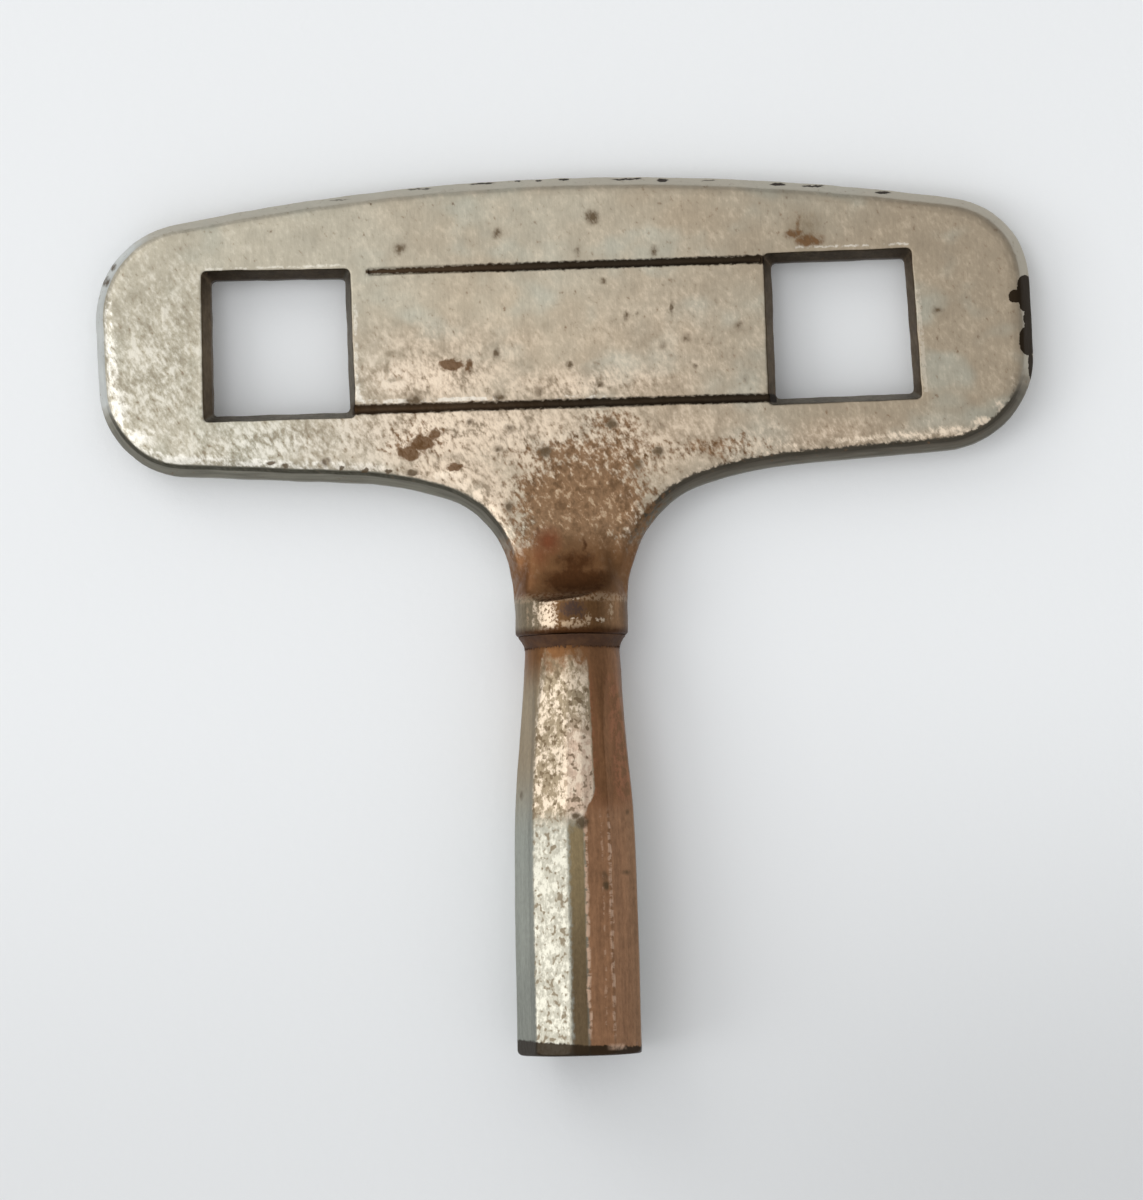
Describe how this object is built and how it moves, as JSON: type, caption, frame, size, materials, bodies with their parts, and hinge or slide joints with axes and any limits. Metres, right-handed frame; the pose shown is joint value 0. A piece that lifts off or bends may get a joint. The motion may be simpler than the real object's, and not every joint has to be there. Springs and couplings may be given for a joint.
{
  "type": "clock winding key",
  "caption": "Flat T-shaped winding key: a wide handle plate with square windows and a grooved panel, and a flared tubular barrel with a square socket.",
  "frame": {"origin": "centre of the square socket's mouth, on the barrel's end plane", "axes": "+Y along the barrel from the mouth towards the handle, +X to the key's right seen from the front, +Z out of the front face"},
  "size_m": [0.0629, 0.0586, 0.0084],
  "materials": {
    "worn_nickel_plating": "dull worn nickel plating with rust stains",
    "stained_barrel_plating": "worn plating, bright on the flats and brown where it has rusted",
    "tarnished_braze": "tarnished and rust stained"
  },
  "bodies": {
    "root": {"bow": "worn_nickel_plating", "barrel": "stained_barrel_plating", "braze_ring": "tarnished_braze"}
  },
  "joints": []
}
